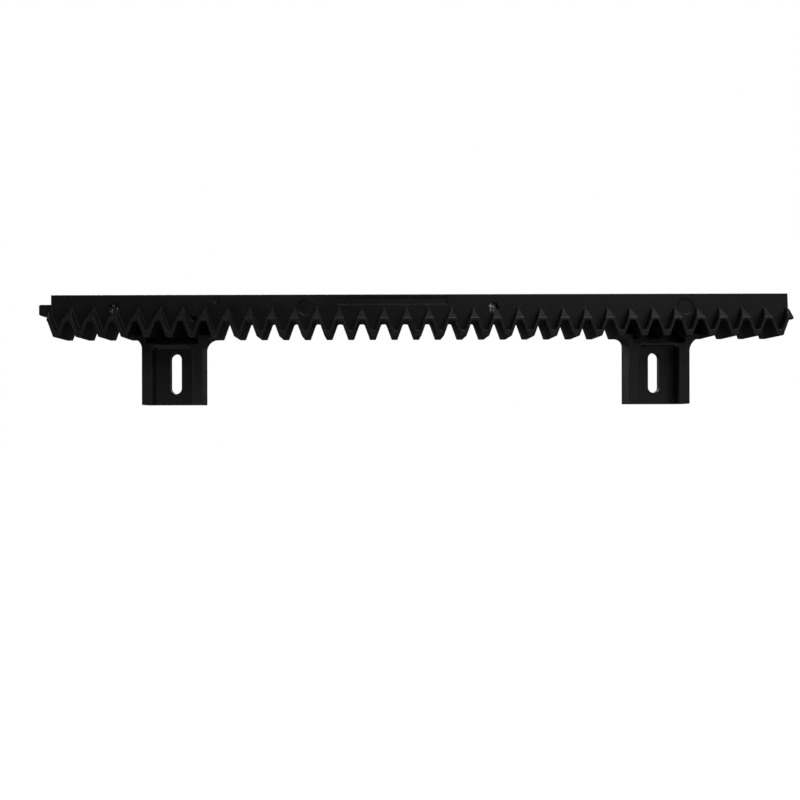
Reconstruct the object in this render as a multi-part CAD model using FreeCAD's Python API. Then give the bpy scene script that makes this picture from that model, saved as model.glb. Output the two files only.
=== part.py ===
import FreeCAD, Part
import math
import os

# Sliding-gate gear rack section: a black nylon moulding, moulded round a square steel core.
# Millimetres.  X runs along the rack, tongue end at -X and socket end at +X.
# Y runs through its thickness: the open front of the teeth at -Y, the gate at +Y.
# Z is up, and the teeth point down.
# Origin: on the rear plane, midway between the centres of the two screw slots.

V = FreeCAD.Vector

# ---- gear geometry: module 4 rack ----
MODULE = 4.0
PITCH = math.pi * MODULE
FLANK_TAN = math.tan(math.radians(20.0))
ADDENDUM = MODULE
DEDENDUM = 1.25 * MODULE
TOOTH_COUNT = 33
ROOT_FILLET = 1.2

# ---- heights ----
TOP = 44.0
BEAM_HEIGHT = 15.3
ROOT = TOP - BEAM_HEIGHT
TIP = ROOT - ADDENDUM - DEDENDUM
LUG_BOTTOM = TOP - 62.0

# ---- depths, measured forward from the rear plane ----
RIM_FRONT = -22.0
BEAM_FRONT = -15.4
FLANGE_FRONT = -14.0
PLATE_FRONT = -5.0
REAR_POCKET_DEPTH = 6.0

# ---- length ----
FIRST_TOOTH = 5.3                   # centre of the first tooth from the left end
LEFT_LUG_TOOTH = 5                  # the lugs hang below these teeth
RIGHT_LUG_TOOTH = 27
LUG_SPACING = 275.0                 # between the centres of the lugs, which is that of the slots
LEFT_LUG_OFFSET = 0.3               # how far the left lug's centre is left of its tooth
LENGTH = TOOTH_COUNT * PITCH
LEFT_LUG_X, RIGHT_LUG_X = -LUG_SPACING / 2, LUG_SPACING / 2
LEFT_END = LEFT_LUG_X + LEFT_LUG_OFFSET - LEFT_LUG_TOOTH * PITCH - FIRST_TOOTH
RIGHT_END = LEFT_END + LENGTH

# ---- V-shaped pockets of the cored teeth, and the roof-shaped webs over the gaps ----
POCKET_FLOOR = TIP + 3.5
POCKET_FLOOR_HALF = 1.0             # half the pocket's width at its floor
WEB_APEX = TOP - 7.0                # where the walls of two pockets meet over a gap
POCKET_SLOPE = (PITCH / 2 - POCKET_FLOOR_HALF) / (WEB_APEX - POCKET_FLOOR)
WEB_FRONT_TOP = ROOT + 1.3
REAR_POCKET_TOP = ROOT - 1.9

# ---- lugs ----
LUG_WIDTH = 34.4
FLANGE_WIDTH = 6.0
LUG_DROP = 3.0                      # from the tooth tips down to the top of the flanges
LUG_BAR = 1.7                       # bar that closes the channel at its top
LUG_RIB = 2.6                       # ribs beside the hollow above that bar
CHANNEL_CORNER = 2.5
SLOT_LENGTH = 23.0
SLOT_WIDTH = 6.5

# ---- steel core, sight holes and moulding marks ----
CORE = 8.0
CORE_HEIGHT = TOP - 7.5
CORE_REAR = -3.7
CORE_INSET = 14.0
SIGHT_HOLES = [(2.4, 7.5), (19.4, 7.5)]         # (tooth index, distance below the top)
SIGHT_HOLE_RADIUS = 2.75
GATE_DISCS = [(11.0, 7.1), (28.0, 7.1)]
GATE_DISC_RADIUS = 4.5
GATE_DISC_DEPTH = 0.8
PIN_HOLE = (6.0, 13.4)
PIN_HOLE_RADIUS = 1.6
PIN_HOLE_DEPTH = 3.0
PIN_MARK = (7.0, 3.2)
PIN_MARK_RADIUS = 1.75
MARK_DEPTH = 0.3
PANEL_LEFT, PANEL_RIGHT = 161.0, 223.0          # blank panel, from the left end
PANEL_TOP, PANEL_BOTTOM = 1.7, 5.8              # below the top

# ---- tongue and socket that line up two sections ----
TONGUE_LENGTH = 8.0
TONGUE_TOP, TONGUE_BOTTOM = TOP - 5.0, TOP - 11.2
TONGUE_FRONT, TONGUE_REAR = -12.4, -3.0
TONGUE_CHAMFER = 0.6
TONGUE_FILLET_ABOVE = 1.3
TONGUE_FILLET_BELOW = 2.2
SOCKET_CLEARANCE = 0.2


def tooth_x(index):
    """Centre of a tooth along the rack; half values are gap centres."""
    return LEFT_END + FIRST_TOOTH + index * PITCH


def box(x0, x1, y0, y1, z0, z1):
    return Part.makeBox(x1 - x0, y1 - y0, z1 - z0, V(x0, y0, z0))


def prism(points, y0, y1):
    """Extrude a closed outline, given as (x, z) points, from y0 to y1."""
    wire = Part.makePolygon([V(x, y0, z) for x, z in points + points[:1]])
    return Part.Face(wire).extrude(V(0, y1 - y0, 0))


def front_cylinder(x, z, radius, y_front, depth):
    return Part.makeCylinder(radius, depth, V(x, y_front, z), V(0, 1, 0))


def flank_half_width(z):
    """Half the width of a tooth at height z."""
    return PITCH / 4 + (z - (TIP + ADDENDUM)) * FLANK_TAN


def tooth_blank(x):
    """Full-depth tooth with a fillet at each root corner."""
    tangent = ROOT_FILLET * math.tan(math.radians(35.0))
    turn = math.radians(35.0)
    wide = flank_half_width(ROOT)
    edges = []
    corners = {}
    for side in (-1, 1):
        land = V(x + side * (wide + tangent), RIM_FRONT, ROOT)
        flank = V(x + side * (wide - tangent * FLANK_TAN * math.cos(math.radians(20.0))), RIM_FRONT,
                  ROOT - tangent * math.cos(math.radians(20.0)))
        centre = V(land.x, RIM_FRONT, ROOT - ROOT_FILLET)
        middle = centre + V(-side * ROOT_FILLET * math.sin(turn), 0, ROOT_FILLET * math.cos(turn))
        tip = V(x + side * flank_half_width(TIP), RIM_FRONT, TIP)
        edges.append(Part.Arc(land, middle, flank).toShape())
        edges.append(Part.makeLine(flank, tip))
        corners[side] = (land, tip)
    edges.append(Part.makeLine(corners[-1][0], corners[1][0]))
    edges.append(Part.makeLine(corners[-1][1], corners[1][1]))
    wire = Part.Wire(Part.__sortEdges__(edges))
    return Part.Face(wire).extrude(V(0, -RIM_FRONT, 0))


def pocket(x, top, y0, y1):
    """V-shaped core-out of a tooth, up to the height given."""
    upper = POCKET_FLOOR_HALF + (top - POCKET_FLOOR) * POCKET_SLOPE
    lower = POCKET_FLOOR_HALF
    outline = [(x - upper, top), (x + upper, top), (x + lower, POCKET_FLOOR), (x - lower, POCKET_FLOOR)]
    return prism(outline, y0, y1)


def by_a_lug(index):
    """Teeth next to a lug keep a solid rear, because the lug's plate joins it."""
    return min(abs(index - LEFT_LUG_TOOTH), abs(index - RIGHT_LUG_TOOTH)) <= 2


def make_tooth(index):
    x = tooth_x(index)
    tooth = tooth_blank(x).cut(pocket(x, ROOT, RIM_FRONT, BEAM_FRONT))
    if not by_a_lug(index):
        tooth = tooth.cut(pocket(x, REAR_POCKET_TOP, -REAR_POCKET_DEPTH, 0))
    return tooth.common(box(LEFT_END, RIGHT_END, RIM_FRONT, 0, TIP, ROOT))


def make_web(gap_index):
    """Roof-shaped gusset over a gap, from the beam's front face out to the rim."""
    x = tooth_x(gap_index)
    half = (WEB_APEX - ROOT) * POCKET_SLOPE
    web = prism([(x - half, ROOT), (x + half, ROOT), (x, WEB_APEX)], RIM_FRONT, BEAM_FRONT)
    side = [V(x - half, RIM_FRONT, WEB_FRONT_TOP), V(x - half, BEAM_FRONT, WEB_APEX),
            V(x - half, BEAM_FRONT, TOP), V(x - half, RIM_FRONT, TOP)]
    above = Part.Face(Part.makePolygon(side + side[:1])).extrude(V(2 * half, 0, 0))
    web = web.cut(above)
    return web.common(box(LEFT_END, RIGHT_END, RIM_FRONT, BEAM_FRONT, ROOT, TOP))


def core_box():
    return box(LEFT_END + CORE_INSET, RIGHT_END - CORE_INSET, CORE_REAR - CORE, CORE_REAR,
               CORE_HEIGHT - CORE / 2, CORE_HEIGHT + CORE / 2)


def make_beam():
    beam = box(LEFT_END, RIGHT_END, BEAM_FRONT, 0, ROOT, TOP)
    beam = beam.cut(core_box())
    beam = beam.cut(tongue_shape(RIGHT_END, SOCKET_CLEARANCE))
    to_core = CORE_REAR - CORE - BEAM_FRONT
    for index, below in SIGHT_HOLES:
        beam = beam.cut(front_cylinder(tooth_x(index), TOP - below, SIGHT_HOLE_RADIUS, BEAM_FRONT, to_core))
    for index, below in GATE_DISCS:
        beam = beam.cut(front_cylinder(tooth_x(index), TOP - below, GATE_DISC_RADIUS, BEAM_FRONT,
                                       GATE_DISC_DEPTH))
    index, below = PIN_HOLE
    beam = beam.cut(front_cylinder(tooth_x(index), TOP - below, PIN_HOLE_RADIUS, BEAM_FRONT, PIN_HOLE_DEPTH))
    index, below = PIN_MARK
    beam = beam.cut(front_cylinder(tooth_x(index), TOP - below, PIN_MARK_RADIUS, BEAM_FRONT, MARK_DEPTH))
    return beam.cut(box(LEFT_END + PANEL_LEFT, LEFT_END + PANEL_RIGHT, BEAM_FRONT, BEAM_FRONT + MARK_DEPTH,
                        TOP - PANEL_BOTTOM, TOP - PANEL_TOP))


def flare_ends(tooth_index):
    """Where a lug's flares end: the near tip corners of the second teeth to its left and right."""
    corner = flank_half_width(TIP)
    return tooth_x(tooth_index - 2) + corner, tooth_x(tooth_index + 2) - corner


def lug_outline(x, tooth_index):
    """Front outline of a lug: straight sides that flare out to the neighbouring tooth tips."""
    half = LUG_WIDTH / 2
    bend = math.radians(45.0)
    left, right = flare_ends(tooth_index)
    edges = []
    for side, end_x in ((-1, left), (1, right)):
        radius = abs(end_x - x) - half
        foot = V(x + side * half, 0, LUG_BOTTOM)
        start = V(x + side * half, 0, TIP - radius)
        centre = V(end_x, 0, TIP - radius)
        middle = centre + V(-side * radius * math.cos(bend), 0, radius * math.sin(bend))
        edges.append(Part.makeLine(foot, start))
        edges.append(Part.Arc(start, middle, V(end_x, 0, TIP)).toShape())
    edges.append(Part.makeLine(V(x - half, 0, LUG_BOTTOM), V(x + half, 0, LUG_BOTTOM)))
    edges.append(Part.makeLine(V(left, 0, TIP), V(right, 0, TIP)))
    return Part.Face(Part.Wire(Part.__sortEdges__(edges)))


def channel(x):
    """Open-bottomed channel between the flanges, down to the plate, with rounded upper corners."""
    half = LUG_WIDTH / 2 - FLANGE_WIDTH
    top = TIP - LUG_DROP - LUG_BAR
    space = box(x - half, x + half, FLANGE_FRONT, PLATE_FRONT, LUG_BOTTOM, top)
    corners = [edge for edge in space.Edges
               if edge.BoundBox.YLength > 1 and edge.BoundBox.ZMin > top - 0.01]
    return space.makeFillet(CHANNEL_CORNER, corners)


def hollow(x):
    """Hollow between the bar and the teeth, down to the plate."""
    half = LUG_WIDTH / 2 - LUG_RIB
    return box(x - half, x + half, FLANGE_FRONT, PLATE_FRONT, TIP - LUG_DROP, TIP)


def slot(x):
    """Upright screw slot with round ends, centred on the origin's height."""
    reach = (SLOT_LENGTH - SLOT_WIDTH) / 2
    hole = box(x - SLOT_WIDTH / 2, x + SLOT_WIDTH / 2, PLATE_FRONT, 0, -reach, reach)
    for z in (-reach, reach):
        hole = hole.fuse(front_cylinder(x, z, SLOT_WIDTH / 2, PLATE_FRONT, -PLATE_FRONT))
    return hole.removeSplitter()


def make_lug(x, tooth_index):
    lug = lug_outline(x, tooth_index).extrude(V(0, FLANGE_FRONT, 0)).cut(channel(x)).cut(hollow(x))
    left, right = flare_ends(tooth_index)
    gap_floor = box(left, right, PLATE_FRONT, 0, TIP, ROOT)
    for step in range(-2, 3):
        gap_floor = gap_floor.cut(tooth_blank(tooth_x(tooth_index + step)))
    return lug.fuse(gap_floor).cut(slot(x)).removeSplitter()


def tongue_shape(end, gap):
    """Tongue that stands out of the end plane at x = end, larger by a gap all round."""
    nose = end - TONGUE_LENGTH - gap
    low, high = TONGUE_BOTTOM - gap, TONGUE_TOP + gap
    front = TONGUE_FRONT - gap
    bend = math.radians(45.0)

    def point(x, z):
        return V(x, front, z)

    def fillet(z, radius, side):
        """Quarter round from the end plane onto the tongue, above it (side 1) or below it (side -1)."""
        centre = point(end - radius, z + side * radius)
        middle = centre + V(radius * math.sin(bend), 0, -side * radius * math.cos(bend))
        return Part.Arc(point(end, z + side * radius), middle, point(end - radius, z)).toShape()

    corners = [point(end - TONGUE_FILLET_BELOW, low), point(nose + TONGUE_CHAMFER, low),
               point(nose, low + TONGUE_CHAMFER), point(nose, high - TONGUE_CHAMFER),
               point(nose + TONGUE_CHAMFER, high), point(end - TONGUE_FILLET_ABOVE, high)]
    edges = [Part.makeLine(a, b) for a, b in zip(corners, corners[1:])]
    edges.append(fillet(low, TONGUE_FILLET_BELOW, -1))
    edges.append(fillet(high, TONGUE_FILLET_ABOVE, 1))
    edges.append(Part.makeLine(point(end, low - TONGUE_FILLET_BELOW), point(end, high + TONGUE_FILLET_ABOVE)))
    outline = Part.Face(Part.Wire(Part.__sortEdges__(edges)))
    return outline.extrude(V(0, TONGUE_REAR + gap - front, 0))


parts = {
    "rail_beam": make_beam(),
    "teeth": Part.makeCompound([make_tooth(i) for i in range(TOOTH_COUNT)]),
    "tooth_webs": Part.makeCompound([make_web(i - 0.5) for i in range(TOOTH_COUNT + 1)]),
    "left_lug": make_lug(LEFT_LUG_X, LEFT_LUG_TOOTH),
    "right_lug": make_lug(RIGHT_LUG_X, RIGHT_LUG_TOOTH),
    "joining_tongue": tongue_shape(LEFT_END, 0.0),
    "steel_core": core_box(),
}

os.makedirs("parts", exist_ok=True)
for name, shape in parts.items():
    shape.exportStep("parts/" + name + ".step")
    limits = shape.BoundBox
    print(name, "valid", shape.isValid(), "solids", len(shape.Solids), "volume", round(shape.Volume),
          "x", round(limits.XMin, 2), round(limits.XMax, 2), "y", round(limits.YMin, 2), round(limits.YMax, 2),
          "z", round(limits.ZMin, 2), round(limits.ZMax, 2))
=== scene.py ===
import math

import bmesh
import bpy
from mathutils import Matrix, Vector


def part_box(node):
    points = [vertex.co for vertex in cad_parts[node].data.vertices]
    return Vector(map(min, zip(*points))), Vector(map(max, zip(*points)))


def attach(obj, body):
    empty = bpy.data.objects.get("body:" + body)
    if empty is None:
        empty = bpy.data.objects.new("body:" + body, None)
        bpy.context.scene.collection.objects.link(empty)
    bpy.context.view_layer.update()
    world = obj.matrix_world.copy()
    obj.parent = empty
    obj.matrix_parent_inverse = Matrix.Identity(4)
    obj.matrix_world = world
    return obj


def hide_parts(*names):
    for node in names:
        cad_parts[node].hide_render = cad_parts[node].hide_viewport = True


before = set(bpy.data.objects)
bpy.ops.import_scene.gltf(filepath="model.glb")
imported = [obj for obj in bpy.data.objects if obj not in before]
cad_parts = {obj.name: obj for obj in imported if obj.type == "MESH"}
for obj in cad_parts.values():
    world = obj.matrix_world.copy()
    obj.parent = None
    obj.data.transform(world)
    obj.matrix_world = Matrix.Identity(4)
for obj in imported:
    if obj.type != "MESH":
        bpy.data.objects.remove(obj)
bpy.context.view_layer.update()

MM = 0.001

# ---- measures read from the CAD nodes, in metres ----
BEAM_LOW, BEAM_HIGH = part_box("rail_beam")
TEETH_LOW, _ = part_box("teeth")
_, WEBS_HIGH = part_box("tooth_webs")
CORE_LOW, CORE_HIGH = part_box("steel_core")
TONGUE_LOW, TONGUE_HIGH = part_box("joining_tongue")
LUG_LOW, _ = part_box("left_lug")

LEFT_END, RIGHT_END = BEAM_LOW.x, BEAM_HIGH.x
TOP, ROOT, TIP = BEAM_HIGH.z, BEAM_LOW.z, TEETH_LOW.z
BEAM_FRONT, RIM_FRONT = BEAM_LOW.y, TEETH_LOW.y
WEB_APEX = WEBS_HIGH.z
LUG_BOTTOM, FLANGE_FRONT = LUG_LOW.z, LUG_LOW.y

# ---- gear geometry, module 4 ----
TOOTH_COUNT = 33
PITCH = (RIGHT_END - LEFT_END) / TOOTH_COUNT
MODULE = PITCH / math.pi
PRESSURE_ANGLE = math.radians(20)
FLANK_TAN = math.tan(PRESSURE_ANGLE)
FIRST_TOOTH = 5.3 * MM              # from the left end face to the first tooth's centre
ROOT_FILLET = 1.2 * MM

# ---- pockets of the teeth and webs over the gaps ----
POCKET_FLOOR = TIP + 3.5 * MM
POCKET_FLOOR_HALF = 1.0 * MM
POCKET_SLOPE = (PITCH / 2 - POCKET_FLOOR_HALF) / (WEB_APEX - POCKET_FLOOR)
WEB_FRONT_TOP = ROOT + 1.3 * MM
REAR_POCKET_TOP = ROOT - 1.9 * MM
REAR_POCKET_DEPTH = 6.0 * MM

# ---- lugs: (centre, the tooth above it) ----
LUG_WIDTH = 34.4 * MM
LUG_SPACING = 275.0 * MM
LUGS = [(-LUG_SPACING / 2, 5), (LUG_SPACING / 2, 27)]
FLANGE_WIDTH = 6.0 * MM
PLATE_FRONT = -5.0 * MM
LUG_DROP = 3.0 * MM
LUG_BAR = 1.7 * MM
LUG_RIB = 2.6 * MM
CHANNEL_CORNER = 2.5 * MM
SLOT_LENGTH, SLOT_WIDTH = 23.0 * MM, 6.5 * MM

# ---- tongue and socket ----
TONGUE_CHAMFER = 0.6 * MM
TONGUE_FILLET_ABOVE = 1.3 * MM
TONGUE_FILLET_BELOW = 2.2 * MM
SOCKET_CLEARANCE = 0.2 * MM

# ---- round recesses in the front: (tooth index, distance below the top, radius, depth) ----
CORE_DEPTH = CORE_LOW.y - BEAM_FRONT
SIGHT_HOLES = [(tooth, 7.5 * MM, 2.75 * MM, CORE_DEPTH) for tooth in (2.4, 19.4)]
GATE_DISCS = [(tooth, 7.1 * MM, 4.5 * MM, 0.8 * MM) for tooth in (11.0, 28.0)]
PIN_HOLE = (6.0, 13.4 * MM, 1.6 * MM, 3.0 * MM)
PIN_MARK = (7.0, 3.2 * MM, 1.75 * MM, 0.3 * MM)

# ---- plain panel in the front ----
PANEL_LEFT, PANEL_RIGHT = LEFT_END + 161.0 * MM, LEFT_END + 223.0 * MM
PANEL_LOW, PANEL_HIGH = TOP - 5.8 * MM, TOP - 1.7 * MM
PANEL_DEPTH = 0.3 * MM

# ---- mesh making ----
EDGE_ROUND = 0.4 * MM
EDGE_SEGMENTS = 3
EDGE_ANGLE = math.radians(28)       # edges that turn more than this are rounded
FLAT_ANGLE = math.radians(0.5)      # faces that turn less than this become one
FILLET_STEPS = 5
CORNER_STEPS = 8
FLARE_STEPS = 12
SLOT_END_STEPS = 20
ROUND_STEPS = 48
OVERLAP = 1.0 * MM                  # how far solids and tools reach past the faces they share
PITCH_MERGE = 0.001 * MM            # how close points are that become one
CUT_MERGE = 0.0001 * MM
FINAL_MERGE = 0.002 * MM

# ---- colours: the two ends of each mottle ----
PLAIN_NYLON = (0.0048, 0.0050, 0.0050), (0.0082, 0.0084, 0.0083)
# painted highlight: paler nylon for the front rims, standing in for the light their rounded edges
# catch
RIM_HIGHLIGHT_NYLON = (0.0085, 0.0088, 0.0088), (0.0130, 0.0133, 0.0132)
ZINC = (0.42, 0.43, 0.45), (0.70, 0.71, 0.72)
FLOOR_GREY = (0.85, 0.85, 0.85, 1)
WHITE = (1, 1, 1, 1)

# ---- stage ----
FLOOR_HALF_WIDTH = 12.0
FLOOR_HEIGHT = -0.45
WORLD_FRONT, WORLD_REAR = 0.024, 0.045      # strength of the world's light
LAMPS = [                                   # name, place, target, size and watts
    ("key", (0.35, -0.7, 1.2), (0, 0, 0), (0.9, 0.9), 10),
    ("front", (0.75, -1.5, 0.1), (0, 0, 0), (1.0, 0.6), 1.15),
    ("left", (-1.2, -0.1, 0), (0.1, 0, 0), (0.5, 0.5), 2.0),
    ("left_low", (-0.14, -0.13, -0.13), (-0.14, 0, -0.01), (0.06, 0.06), 0.11),
    ("right_low", (0.14, -0.13, -0.13), (0.14, 0, -0.01), (0.06, 0.06), 0.06),
    ("back_key", (-0.6, 1.1, 1.0), (0, 0, 0), (0.9, 0.9), 22),
    ("back_fill", (1.0, 1.2, 0.9), (0, 0, 0), (0.8, 0.8), 9),
]

# ---- camera, at the photograph's viewing angle ----
CAMERA_PLACE = (-24.7 * MM, -477.3 * MM, -27.2 * MM)
CAMERA_ROLL = math.radians(0.14)
CAMERA_LENS, CAMERA_SENSOR = 36.94, 36
CAMERA_SHIFT_X, CAMERA_SHIFT_Y = 0.0349, 0.0260


def tooth_x(index):
    """Centre of a tooth along the rack; half values are gap centres."""
    return LEFT_END + FIRST_TOOTH + index * PITCH


def by_a_lug(index):
    """Whether a tooth is over or next to a lug; such teeth have a solid rear."""
    return min(abs(index - tooth) for _, tooth in LUGS) <= 2


def flank_half_width(z):
    """Half the width of a tooth at height z."""
    return PITCH / 4 + (z - (TIP + MODULE)) * FLANK_TAN


def pocket_half_width(z):
    """Half the width of a tooth's pocket at height z; two pockets meet over the gap at the apex."""
    return PITCH / 2 - (WEB_APEX - z) * POCKET_SLOPE


# ---------------------------------------------------------------- mesh helpers

def new_object(name, bm):
    """Object made of a bmesh, which is used up."""
    mesh = bpy.data.meshes.new(name)
    bm.to_mesh(mesh)
    bm.free()
    piece = bpy.data.objects.new(name, mesh)
    bpy.context.scene.collection.objects.link(piece)
    return piece


def add_prism(bm, outline, y_front, y_rear):
    """Closed solid from an (x, z) outline, given anticlockwise as seen from the front."""
    front = [bm.verts.new((x, y_front, z)) for x, z in outline]
    rear = [bm.verts.new((x, y_rear, z)) for x, z in outline]
    bm.faces.new(front)
    bm.faces.new(rear[::-1])
    for i in range(len(outline)):
        j = (i + 1) % len(outline)
        bm.faces.new((front[j], front[i], rear[i], rear[j]))


def prism(name, outline, y_front, y_rear):
    bm = bmesh.new()
    add_prism(bm, outline, y_front, y_rear)
    bmesh.ops.recalc_face_normals(bm, faces=bm.faces)
    return new_object(name, bm)


def rectangle(x0, x1, z0, z1):
    return [(x0, z0), (x1, z0), (x1, z1), (x0, z1)]


def arc(cx, cz, radius, start, end, steps):
    """Points on an arc, angles in degrees from +X towards +Z."""
    turn = [math.radians(start + (end - start) * i / steps) for i in range(steps + 1)]
    return [(cx + radius * math.cos(a), cz + radius * math.sin(a)) for a in turn]


def combine(target, tool, operation):
    """Boolean of two closed solids; the tool is used up."""
    modifier = target.modifiers.new("combine", "BOOLEAN")
    modifier.operation = operation
    modifier.solver = "EXACT"
    modifier.object = tool
    bake_modifiers(target)
    bpy.data.objects.remove(tool)


def bake_modifiers(piece):
    """Replace the piece's mesh by what its modifiers make of it."""
    bpy.context.view_layer.update()
    evaluated = piece.evaluated_get(bpy.context.evaluated_depsgraph_get())
    mesh = bpy.data.meshes.new_from_object(evaluated)
    piece.modifiers.clear()
    piece.data = mesh


# ---------------------------------------------------------------- the toothed rail

def flank_points():
    """(x, z) points of half a tooth: from the tip's corner, round the root fillet, to mid gap."""
    turn = math.pi / 2 - PRESSURE_ANGLE
    tangent = ROOT_FILLET * math.tan(turn / 2)
    centre_x = flank_half_width(ROOT) + tangent
    points = [(flank_half_width(TIP), TIP)]
    for i in range(FILLET_STEPS + 1):
        a = turn * (1 - i / FILLET_STEPS)
        points.append((centre_x - ROOT_FILLET * math.sin(a),
                       ROOT - ROOT_FILLET + ROOT_FILLET * math.cos(a)))
    points.append((PITCH / 2, ROOT))
    return points


def add_pitch(bm, index):
    """One pitch of the rail, from gap centre to gap centre, open at both ends."""
    centre = tooth_x(index)
    flank = flank_points()
    outer = [(-x, z) for x, z in flank[::-1]] + [(0, TIP)] + flank
    half = PITCH / 2
    low = POCKET_FLOOR_HALF
    high = pocket_half_width(WEB_FRONT_TOP)

    def face(*points):
        bm.faces.new([bm.verts.new((centre + x, y, z)) for x, y, z in points])

    for (x0, z0), (x1, z1) in zip(outer, outer[1:]):
        face((x0, RIM_FRONT, z0), (x1, RIM_FRONT, z1), (x1, 0, z1), (x0, 0, z0))
    rim = [(half, WEB_FRONT_TOP), (high, WEB_FRONT_TOP), (low, POCKET_FLOOR)]
    inner = rim + [(-x, z) for x, z in rim[::-1]]
    face(*[(x, RIM_FRONT, z) for x, z in outer + inner])
    face((-low, RIM_FRONT, POCKET_FLOOR), (low, RIM_FRONT, POCKET_FLOOR),
         (low, BEAM_FRONT, POCKET_FLOOR), (-low, BEAM_FRONT, POCKET_FLOOR))
    for side in (-1, 1):
        face((side * low, RIM_FRONT, POCKET_FLOOR), (side * high, RIM_FRONT, WEB_FRONT_TOP),
             (side * half, BEAM_FRONT, WEB_APEX), (side * low, BEAM_FRONT, POCKET_FLOOR))
        face((side * high, RIM_FRONT, WEB_FRONT_TOP), (side * half, RIM_FRONT, WEB_FRONT_TOP),
             (side * half, BEAM_FRONT, WEB_APEX))
    face((-half, BEAM_FRONT, TOP), (-half, BEAM_FRONT, WEB_APEX), (-low, BEAM_FRONT, POCKET_FLOOR),
         (low, BEAM_FRONT, POCKET_FLOOR), (half, BEAM_FRONT, WEB_APEX), (half, BEAM_FRONT, TOP))
    face((-half, BEAM_FRONT, TOP), (half, BEAM_FRONT, TOP),
         (half, 0, TOP), (0, 0, TOP), (-half, 0, TOP))
    if by_a_lug(index):
        face(*[(x, 0, z) for x, z in outer + [(half, TOP), (0, TOP), (-half, TOP)]])
    else:
        add_cored_rear(face, flank)


def add_cored_rear(face, flank):
    """Rear of a pitch with its shallow pocket, split down the middle of the tooth."""
    half = PITCH / 2
    low = POCKET_FLOOR_HALF
    wide = pocket_half_width(REAR_POCKET_TOP)
    depth = -REAR_POCKET_DEPTH
    for side in (-1, 1):
        outline = [(side * x, z) for x, z in flank]
        outline += [(side * half, TOP), (0, TOP), (0, REAR_POCKET_TOP),
                    (side * wide, REAR_POCKET_TOP), (side * low, POCKET_FLOOR),
                    (0, POCKET_FLOOR), (0, TIP)]
        face(*[(x, 0, z) for x, z in outline])
        face((side * wide, 0, REAR_POCKET_TOP), (side * low, 0, POCKET_FLOOR),
             (side * low, depth, POCKET_FLOOR), (side * wide, depth, REAR_POCKET_TOP))
    for x, z in ((wide, REAR_POCKET_TOP), (low, POCKET_FLOOR)):
        face((-x, 0, z), (0, 0, z), (x, 0, z), (x, depth, z), (-x, depth, z))
    face((-wide, depth, REAR_POCKET_TOP), (wide, depth, REAR_POCKET_TOP),
         (low, depth, POCKET_FLOOR), (-low, depth, POCKET_FLOOR))


def make_rail():
    """One pitch more than the rail has, joined into one mesh and cut off square at both ends."""
    bm = bmesh.new()
    for index in range(TOOTH_COUNT + 1):
        add_pitch(bm, index)
    bmesh.ops.remove_doubles(bm, verts=bm.verts, dist=PITCH_MERGE)
    for end, outward in ((LEFT_END, -1), (RIGHT_END, 1)):
        everything = bm.verts[:] + bm.edges[:] + bm.faces[:]
        cut = bmesh.ops.bisect_plane(bm, geom=everything, dist=CUT_MERGE, plane_co=(end, 0, 0),
                                     plane_no=(outward, 0, 0), clear_outer=True)
        rim = [e for e in cut["geom_cut"] if isinstance(e, bmesh.types.BMEdge)]
        bmesh.ops.contextual_create(bm, geom=rim)
    bmesh.ops.recalc_face_normals(bm, faces=bm.faces)
    bmesh.ops.dissolve_limit(bm, angle_limit=FLAT_ANGLE, verts=bm.verts, edges=bm.edges)
    return new_object("nylon_moulding", bm)


# ---------------------------------------------------------------- lugs

def mirrored(centre, side):
    """Closed outline from the points of its right-hand side, bottom to top."""
    return [(centre + x, z) for x, z in side] + [(centre - x, z) for x, z in side[::-1]]


def lug_outline(centre, tooth, head_top):
    """Outline of a lug that flares out to the second tooth on each side and reaches into it."""
    half = LUG_WIDTH / 2
    outline = []
    for side in (1, -1):
        inside_tooth = side * (tooth_x(tooth + 2 * side) - centre)
        reach = inside_tooth - flank_half_width(TIP)
        radius = reach - half
        points = [(half, LUG_BOTTOM)] + arc(reach, TIP - radius, radius, 180, 90, FLARE_STEPS)
        points += [(inside_tooth, TIP + OVERLAP), (inside_tooth, head_top)]
        outline += [(centre + side * x, z) for x, z in points[::side]]
    return outline


def lug_plate(centre, tooth):
    """Plate with a head that closes the rear of the gaps above it."""
    return prism("plate", lug_outline(centre, tooth, ROOT + OVERLAP), PLATE_FRONT, 0)


def lug_flanges(centre, tooth):
    """Two flanges and a bar, with a hollow above the bar and an open-ended channel below it."""
    outline = lug_outline(centre, tooth, TIP + 2 * OVERLAP)
    flanges = prism("flanges", outline, FLANGE_FRONT, PLATE_FRONT / 2)
    bar_top = TIP - LUG_DROP
    inside = LUG_WIDTH / 2 - LUG_RIB
    outline = rectangle(centre - inside, centre + inside, bar_top, TIP + 3 * OVERLAP)
    hollow = prism("hollow", outline, FLANGE_FRONT - OVERLAP, PLATE_FRONT)
    combine(flanges, hollow, "DIFFERENCE")
    inside = LUG_WIDTH / 2 - FLANGE_WIDTH
    corner_z = bar_top - LUG_BAR - CHANNEL_CORNER
    corner = arc(inside - CHANNEL_CORNER, corner_z, CHANNEL_CORNER, 0, 90, CORNER_STEPS)
    outline = mirrored(centre, [(inside, LUG_BOTTOM - OVERLAP)] + corner)
    channel = prism("channel", outline, FLANGE_FRONT - OVERLAP, PLATE_FRONT)
    combine(flanges, channel, "DIFFERENCE")
    return flanges


def slot_tool(centre):
    """Upright slot with round ends, through the plate."""
    reach = (SLOT_LENGTH - SLOT_WIDTH) / 2
    outline = arc(centre, reach, SLOT_WIDTH / 2, 0, 180, SLOT_END_STEPS)
    outline += arc(centre, -reach, SLOT_WIDTH / 2, 180, 360, SLOT_END_STEPS)
    return prism("slot", outline, PLATE_FRONT - OVERLAP, OVERLAP)


# ---------------------------------------------------------------- tongue, socket, core and marks

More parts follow.
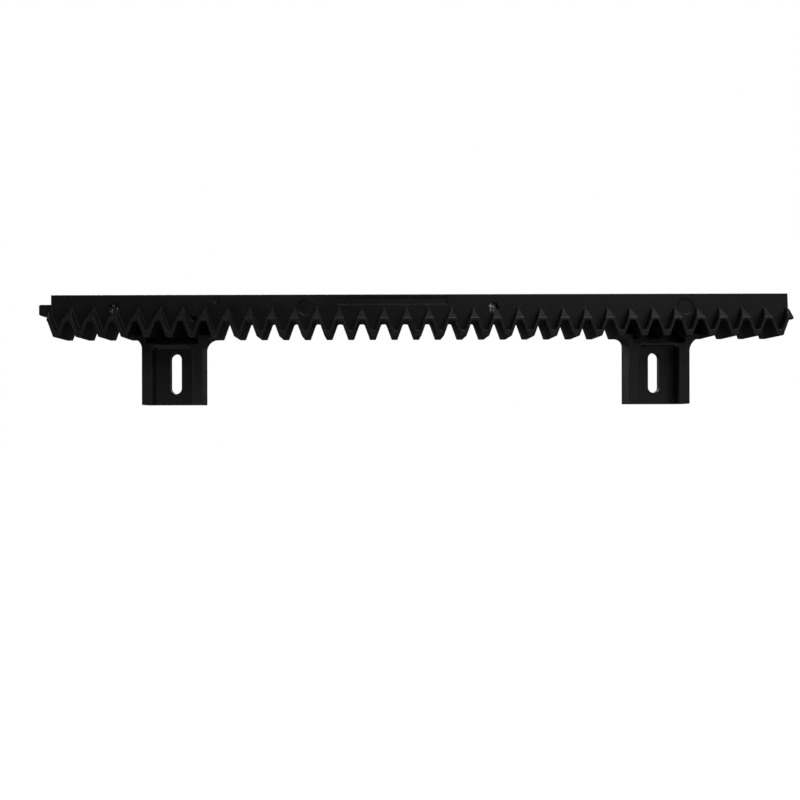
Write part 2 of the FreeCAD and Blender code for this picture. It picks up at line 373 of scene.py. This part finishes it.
def tongue_shape(end, gap):
    """Tongue that stands out of the end plane at x = end, larger by a gap all round."""
    nose = end - (TONGUE_HIGH.x - TONGUE_LOW.x) - gap
    low = TONGUE_LOW.z + TONGUE_FILLET_BELOW - gap
    high = TONGUE_HIGH.z - TONGUE_FILLET_ABOVE + gap
    cut = TONGUE_CHAMFER
    radius = TONGUE_FILLET_BELOW
    below = arc(end - radius, low - radius, radius, 90, 0, FILLET_STEPS)
    radius = TONGUE_FILLET_ABOVE
    above = arc(end - radius, high + radius, radius, 0, -90, FILLET_STEPS)
    outline = below + [(end + OVERLAP, below[-1][1]), (end + OVERLAP, above[0][1])] + above
    outline += [(nose + cut, high), (nose, high - cut), (nose, low + cut), (nose + cut, low)]
    return prism("tongue", outline, TONGUE_LOW.y - gap, TONGUE_HIGH.y + gap)


def core_tool():
    """The room that the steel core fills."""
    outline = rectangle(CORE_LOW.x, CORE_HIGH.x, CORE_LOW.z, CORE_HIGH.z)
    return prism("core", outline, CORE_LOW.y, CORE_HIGH.y)


def round_tool(index, below, radius, depth):
    outline = arc(tooth_x(index), TOP - below, radius, 0, 360, ROUND_STEPS)[:-1]
    return prism("round", outline, BEAM_FRONT - OVERLAP, BEAM_FRONT + depth)


def panel_tool():
    outline = rectangle(PANEL_LEFT, PANEL_RIGHT, PANEL_LOW, PANEL_HIGH)
    return prism("panel", outline, BEAM_FRONT - OVERLAP, BEAM_FRONT + PANEL_DEPTH)


def make_moulding():
    """The whole nylon moulding as one closed mesh."""
    body = make_rail()
    for centre, tooth in LUGS:
        combine(body, lug_plate(centre, tooth), "UNION")
        combine(body, lug_flanges(centre, tooth), "UNION")
        combine(body, slot_tool(centre), "DIFFERENCE")
    combine(body, tongue_shape(LEFT_END, 0), "UNION")
    combine(body, tongue_shape(RIGHT_END, SOCKET_CLEARANCE), "DIFFERENCE")
    combine(body, core_tool(), "DIFFERENCE")
    for index, below, radius, depth in SIGHT_HOLES:
        combine(body, round_tool(index, below, radius, depth + OVERLAP), "DIFFERENCE")
    for mark in GATE_DISCS + [PIN_HOLE, PIN_MARK]:
        combine(body, round_tool(*mark), "DIFFERENCE")
    combine(body, panel_tool(), "DIFFERENCE")
    clean(body)
    return body


def clean(body):
    """Merge the slivers that the booleans leave, and turn all faces outwards."""
    bm = bmesh.new()
    bm.from_mesh(body.data)
    bmesh.ops.remove_doubles(bm, verts=bm.verts, dist=FINAL_MERGE)
    bmesh.ops.dissolve_limit(bm, angle_limit=FLAT_ANGLE, verts=bm.verts, edges=bm.edges)
    bmesh.ops.recalc_face_normals(bm, faces=bm.faces)
    bm.to_mesh(body.data)
    bm.free()


def round_edges(piece):
    """Round the edges of the mesh, and hold the result inside its own box."""
    low = [min(v.co[i] for v in piece.data.vertices) for i in range(3)]
    high = [max(v.co[i] for v in piece.data.vertices) for i in range(3)]
    bevel = piece.modifiers.new("moulded edges", "BEVEL")
    bevel.width = EDGE_ROUND
    bevel.segments = EDGE_SEGMENTS
    bevel.limit_method = "ANGLE"
    bevel.angle_limit = EDGE_ANGLE
    bevel.use_clamp_overlap = False
    bevel.harden_normals = True
    bevel.miter_outer = "MITER_ARC"
    for polygon in piece.data.polygons:
        polygon.use_smooth = True
    bake_modifiers(piece)
    for vertex in piece.data.vertices:
        vertex.co = [min(max(vertex.co[i], low[i]), high[i]) for i in range(3)]


# ---------------------------------------------------------------- materials

def link(tree, source, output, target, socket):
    tree.links.new(source.outputs[output], target.inputs[socket])


def shader_material(name):
    material = bpy.data.materials.new(name)
    material.use_nodes = True
    return material, material.node_tree, material.node_tree.nodes["Principled BSDF"]


def stretched(tree, coords, scale_x):
    """Coordinates that draw a pattern out along the rack."""
    node = tree.nodes.new("ShaderNodeMapping")
    node.inputs["Scale"].default_value = (scale_x, 1.0, 1.0)
    link(tree, coords, "Object", node, "Vector")
    return node


def noise(tree, coords, output, scale, detail, roughness=0.5):
    node = tree.nodes.new("ShaderNodeTexNoise")
    node.inputs["Scale"].default_value = scale
    node.inputs["Detail"].default_value = detail
    node.inputs["Roughness"].default_value = roughness
    link(tree, coords, output, node, "Vector")
    return node


def remap(tree, source, output, low, high, to_low, to_high):
    node = tree.nodes.new("ShaderNodeMapRange")
    node.inputs["From Min"].default_value = low
    node.inputs["From Max"].default_value = high
    node.inputs["To Min"].default_value = to_low
    node.inputs["To Max"].default_value = to_high
    link(tree, source, output, node, "Value")
    return node


def mix_colours(tree, source, output, colour_a, colour_b):
    node = tree.nodes.new("ShaderNodeMix")
    node.data_type = "RGBA"
    node.inputs["A"].default_value = (*colour_a, 1)
    node.inputs["B"].default_value = (*colour_b, 1)
    link(tree, source, output, node, "Factor")
    return node


def bump(tree, source, strength, distance):
    node = tree.nodes.new("ShaderNodeBump")
    node.inputs["Strength"].default_value = strength
    node.inputs["Distance"].default_value = distance
    link(tree, source, "Fac", node, "Height")
    return node


def black_nylon():
    """Black moulded nylon: satin and faintly mottled, with a painted highlight that makes the front
    rims paler.
    """
    material, tree, shader = shader_material("black_nylon")
    coords = tree.nodes.new("ShaderNodeTexCoord")
    flow = noise(tree, stretched(tree, coords, 0.25), "Vector", 90, 4, 0.6)
    grain = noise(tree, coords, "Object", 2600, 3, 0.6)
    plain = mix_colours(tree, flow, "Fac", *PLAIN_NYLON)
    rim_highlight = mix_colours(tree, flow, "Fac", *RIM_HIGHLIGHT_NYLON)
    place = tree.nodes.new("ShaderNodeSeparateXYZ")
    link(tree, coords, "Object", place, "Vector")
    # painted highlight: the faces at the front rims get the paler colour
    rim = remap(tree, place, "Y", RIM_FRONT + EDGE_ROUND, RIM_FRONT, 0, 1)
    tint = tree.nodes.new("ShaderNodeMix")
    tint.data_type = "RGBA"
    link(tree, rim, "Result", tint, "Factor")
    link(tree, plain, "Result", tint, "A")
    link(tree, rim_highlight, "Result", tint, "B")
    link(tree, tint, "Result", shader, "Base Color")
    gloss = remap(tree, flow, "Fac", 0.3, 0.7, 0.40, 0.52)
    link(tree, gloss, "Result", shader, "Roughness")
    link(tree, bump(tree, grain, 0.25, 0.05 * MM), "Normal", shader, "Normal")
    shader.inputs["IOR"].default_value = 1.5
    shader.inputs["Specular IOR Level"].default_value = 0.4
    return material


def zinc_plated_steel():
    """Drawn square bar with a bright, slightly rough and dimpled zinc coat."""
    material, tree, shader = shader_material("zinc_plated_steel")
    coords = tree.nodes.new("ShaderNodeTexCoord")
    drawn = noise(tree, stretched(tree, coords, 0.03), "Vector", 1800, 3, 0.7)
    cloud = noise(tree, coords, "Object", 650, 2)
    tint = mix_colours(tree, cloud, "Fac", *ZINC)
    link(tree, tint, "Result", shader, "Base Color")
    gloss = remap(tree, drawn, "Fac", 0.3, 0.7, 0.16, 0.30)
    link(tree, gloss, "Result", shader, "Roughness")
    dimples = bump(tree, cloud, 0.8, 0.9 * MM)
    scratches = bump(tree, drawn, 0.2, 0.03 * MM)
    link(tree, dimples, "Normal", scratches, "Normal")
    link(tree, scratches, "Normal", shader, "Normal")
    shader.inputs["Metallic"].default_value = 1.0
    return material


# ---------------------------------------------------------------- stage, light and camera

def make_floor():
    """White floor well below the rack, which neither lights the rack nor shows in its gloss."""
    bm = bmesh.new()
    half = FLOOR_HALF_WIDTH
    corners = rectangle(-half, half, -half, half)
    bm.faces.new([bm.verts.new((x, y, FLOOR_HEIGHT)) for x, y in corners])
    floor = new_object("floor", bm)
    material, _, shader = shader_material("pale_floor")
    shader.inputs["Base Color"].default_value = FLOOR_GREY
    shader.inputs["Roughness"].default_value = 0.9
    shader.inputs["Emission Color"].default_value = WHITE
    shader.inputs["Emission Strength"].default_value = 1.0
    floor.data.materials.append(material)
    floor.visible_diffuse = floor.visible_glossy = False


def make_world():
    """Light that is stronger behind the object than in front of it; the camera sees plain white."""
    world = bpy.data.worlds.new("studio")
    bpy.context.scene.world = world
    world.use_nodes = True
    tree = world.node_tree
    tree.nodes.clear()
    coords = tree.nodes.new("ShaderNodeTexCoord")
    split = tree.nodes.new("ShaderNodeSeparateXYZ")
    link(tree, coords, "Generated", split, "Vector")
    behind = remap(tree, split, "Y", -0.1, 0.7, WORLD_FRONT, WORLD_REAR)
    seen = tree.nodes.new("ShaderNodeBackground")
    seen.inputs["Color"].default_value = WHITE
    seen.inputs["Strength"].default_value = 1.0
    light = tree.nodes.new("ShaderNodeBackground")
    link(tree, behind, "Result", light, "Strength")
    path = tree.nodes.new("ShaderNodeLightPath")
    mix = tree.nodes.new("ShaderNodeMixShader")
    output = tree.nodes.new("ShaderNodeOutputWorld")
    link(tree, path, "Is Camera Ray", mix, "Fac")
    link(tree, light, "Background", mix, 1)
    link(tree, seen, "Background", mix, 2)
    link(tree, mix, "Shader", output, "Surface")


def soft_box(name, location, target, size, energy):
    """Area light that shines from one place towards another and doesn't show itself."""
    data = bpy.data.lights.new(name, "AREA")
    data.shape = "RECTANGLE"
    data.size, data.size_y = size
    data.energy = energy
    lamp = bpy.data.objects.new(name, data)
    lamp.location = location
    lamp.rotation_mode = "QUATERNION"
    lamp.rotation_quaternion = (Vector(target) - Vector(location)).to_track_quat("-Z", "Y")
    lamp.visible_camera = False
    bpy.context.scene.collection.objects.link(lamp)


def make_camera():
    data = bpy.data.cameras.new("camera")
    data.sensor_width = CAMERA_SENSOR
    data.lens = CAMERA_LENS
    data.shift_x = CAMERA_SHIFT_X
    data.shift_y = CAMERA_SHIFT_Y
    data.clip_start = 0.01
    camera = bpy.data.objects.new("camera", data)
    camera.location = CAMERA_PLACE
    camera.rotation_euler = (math.pi / 2, CAMERA_ROLL, 0)
    bpy.context.scene.collection.objects.link(camera)
    bpy.context.scene.camera = camera


make_camera()
make_world()
make_floor()
for lamp in LAMPS:
    soft_box(*lamp)

moulding = make_moulding()
round_edges(moulding)
moulding.data.materials.clear()
moulding.data.materials.append(black_nylon())
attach(moulding, "root")
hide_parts("rail_beam", "teeth", "tooth_webs", "left_lug", "right_lug", "joining_tongue")

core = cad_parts["steel_core"]
core.data.materials.clear()
core.data.materials.append(zinc_plated_steel())

bpy.context.scene.view_settings.view_transform = "Standard"
